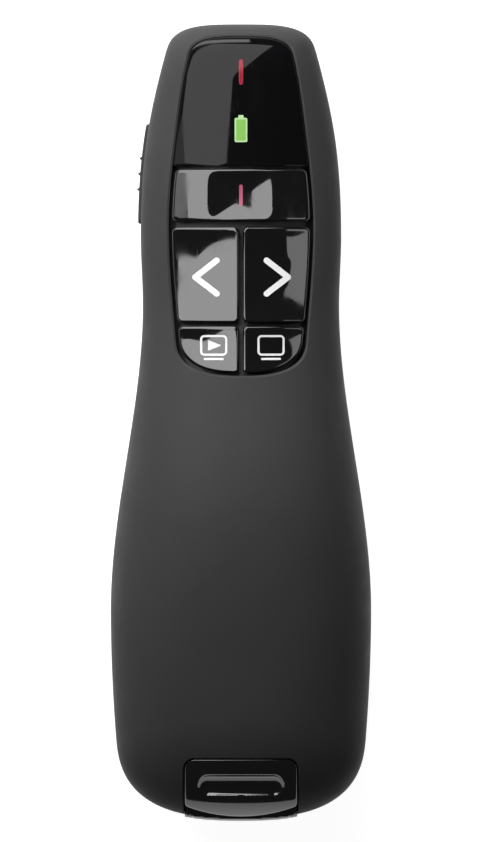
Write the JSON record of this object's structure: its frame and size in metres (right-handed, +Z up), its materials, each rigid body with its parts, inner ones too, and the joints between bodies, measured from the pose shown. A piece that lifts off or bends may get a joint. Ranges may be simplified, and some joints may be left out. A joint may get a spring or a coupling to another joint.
{
  "type": "wireless presentation clicker",
  "caption": "Waisted hand-held slide clicker with glossy keys, laser pointer, side power slider, battery door and a stowed plug-in receiver.",
  "frame": {"origin": "middle of the length and width, on the surface that the clicker lies on", "axes": "+X to the right seen from the keys, +Y from the tail to the head, +Z up through the keys"},
  "size_m": [0.0378, 0.1155, 0.0274],
  "materials": {
    "soft_touch_shell": "soft-touch coating, matte charcoal black",
    "gloss_panel": "polished piano black with printed white legends",
    "receiver_gloss": "polished black",
    "red_light_guide": "translucent red light guide, lit",
    "green_light_guide": "translucent green light guide, lit",
    "inner_plastic": "moulded dark grey plastic",
    "switch_plunger": "moulded ivory plastic",
    "switch_steel": "stamped steel",
    "board_laminate": "green solder mask on glass laminate",
    "led_resin": "clear LED resin",
    "chip_black": "black epoxy",
    "laser_brass": "turned brass",
    "lens_glass": "dark red glass",
    "contact_steel": "nickel-plated spring steel",
    "battery_sleeve": "printed foil sleeve, bare of any name",
    "usb_tongue": "white moulded plastic",
    "gold_contact": "gold flash",
    "screw_steel": "zinc-plated steel"
  },
  "bodies": {
    "casing": {"top_shell": "soft_touch_shell", "rear_shell": "soft_touch_shell", "display_window": "gloss_panel", "laser_light_guide": "red_light_guide", "battery_light_guide": "green_light_guide", "key_frame": "inner_plastic", "tact_switches": "switch_steel", "circuit_board": "board_laminate", "laser_status_led": "led_resin", "battery_status_led": "led_resin", "microcontroller": "chip_black", "crystal": "switch_steel", "power_inductor": "chip_black", "chip_components": "chip_black", "slide_switch": "switch_steel", "laser_module": "laser_brass", "laser_lens": "lens_glass", "laser_leads": "contact_steel", "battery_left": "battery_sleeve", "battery_right": "battery_sleeve", "battery_tub": "inner_plastic", "tail_spring": "contact_steel", "head_spring": "contact_steel", "tail_contact": "contact_steel", "positive_contact": "contact_steel", "negative_contact": "contact_steel", "receiver_dock": "inner_plastic", "case_screws": "screw_steel", "board_screws": "screw_steel"},
    "laser_key": {"laser_button": "gloss_panel", "laser_plunger": "switch_plunger"},
    "previous_key": {"previous_button": "gloss_panel", "previous_plunger": "switch_plunger"},
    "next_key": {"next_button": "gloss_panel", "next_plunger": "switch_plunger"},
    "start_key": {"start_button": "gloss_panel", "start_plunger": "switch_plunger"},
    "blank_key": {"blank_button": "gloss_panel", "blank_plunger": "switch_plunger"},
    "power_switch": {"power_slider": "soft_touch_shell", "slide_switch_lever": "switch_plunger"},
    "door": {"battery_door": "soft_touch_shell"},
    "receiver": {"receiver_housing": "receiver_gloss", "receiver_board": "board_laminate", "usb_plug_shell": "contact_steel", "usb_plug_tongue": "usb_tongue", "usb_contacts": "gold_contact"}
  },
  "joints": [
    {"name": "laser_key_press", "type": "slide", "parent": "casing", "child": "laser_key", "axis": [0, 0, -1], "range_m": [0, 0.0005], "stiffness_N_per_m": 300, "springref_m": -0.001},
    {"name": "previous_key_press", "type": "slide", "parent": "casing", "child": "previous_key", "axis": [0, 0, -1], "range_m": [0, 0.0005], "stiffness_N_per_m": 300, "springref_m": -0.001},
    {"name": "next_key_press", "type": "slide", "parent": "casing", "child": "next_key", "axis": [0, 0, -1], "range_m": [0, 0.0005], "stiffness_N_per_m": 300, "springref_m": -0.001},
    {"name": "start_key_press", "type": "slide", "parent": "casing", "child": "start_key", "axis": [0, 0, -1], "range_m": [0, 0.0005], "stiffness_N_per_m": 300, "springref_m": -0.001},
    {"name": "blank_key_press", "type": "slide", "parent": "casing", "child": "blank_key", "axis": [0, 0, -1], "range_m": [0, 0.0005], "stiffness_N_per_m": 300, "springref_m": -0.001},
    {"name": "power_slide", "type": "slide", "parent": "casing", "child": "power_switch", "axis": [0.0799, 0.9968, 0], "range_m": [-0.0011, 0.0011]},
    {"name": "door_slide", "type": "slide", "parent": "casing", "child": "door", "axis": [0, -1, 0], "range_m": [0, 0.0045]},
    {"name": "receiver_slide", "type": "slide", "parent": "casing", "child": "receiver", "axis": [0, -1, 0], "range_m": [0, 0.042]}
  ]
}
